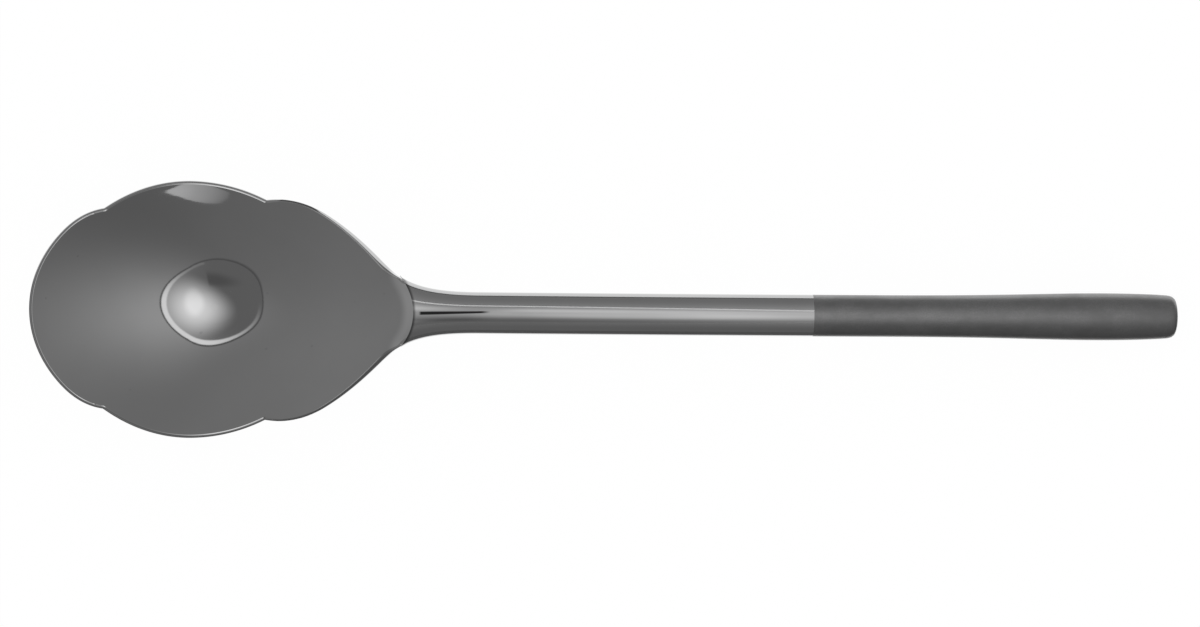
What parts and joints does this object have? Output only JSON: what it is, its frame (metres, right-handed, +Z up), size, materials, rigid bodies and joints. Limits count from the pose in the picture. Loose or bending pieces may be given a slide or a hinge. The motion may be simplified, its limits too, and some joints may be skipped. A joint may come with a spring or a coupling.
{
  "type": "sugar spoon",
  "caption": "Sugar spoon with a wide scalloped bowl, a flared neck, an oval polished stem and an oval satin grip, for scooping and serving sugar.",
  "frame": {"origin": "on the table under the middle of the spoon's length and width", "axes": "+X along the spoon from the bowl to the grip, +Z up out of the bowl, the spoon lying on the flat under its bowl and on the end of its grip"},
  "size_m": [0.1561, 0.0348, 0.0136],
  "materials": {
    "polished_steel": "mirror polished",
    "satin_steel": "fine satin, blasted",
    "core_steel": "as drawn, unpolished",
    "silver_braze": "as flowed",
    "handle_cement": "set filler"
  },
  "bodies": {
    "root": {"bowl": "polished_steel", "neck": "polished_steel", "bowl_braze": "silver_braze", "stem": "polished_steel", "neck_solder_ring": "silver_braze", "grip": "satin_steel", "end_cap": "satin_steel", "tang": "core_steel", "coupler": "core_steel", "grip_cement": "handle_cement"}
  },
  "joints": []
}
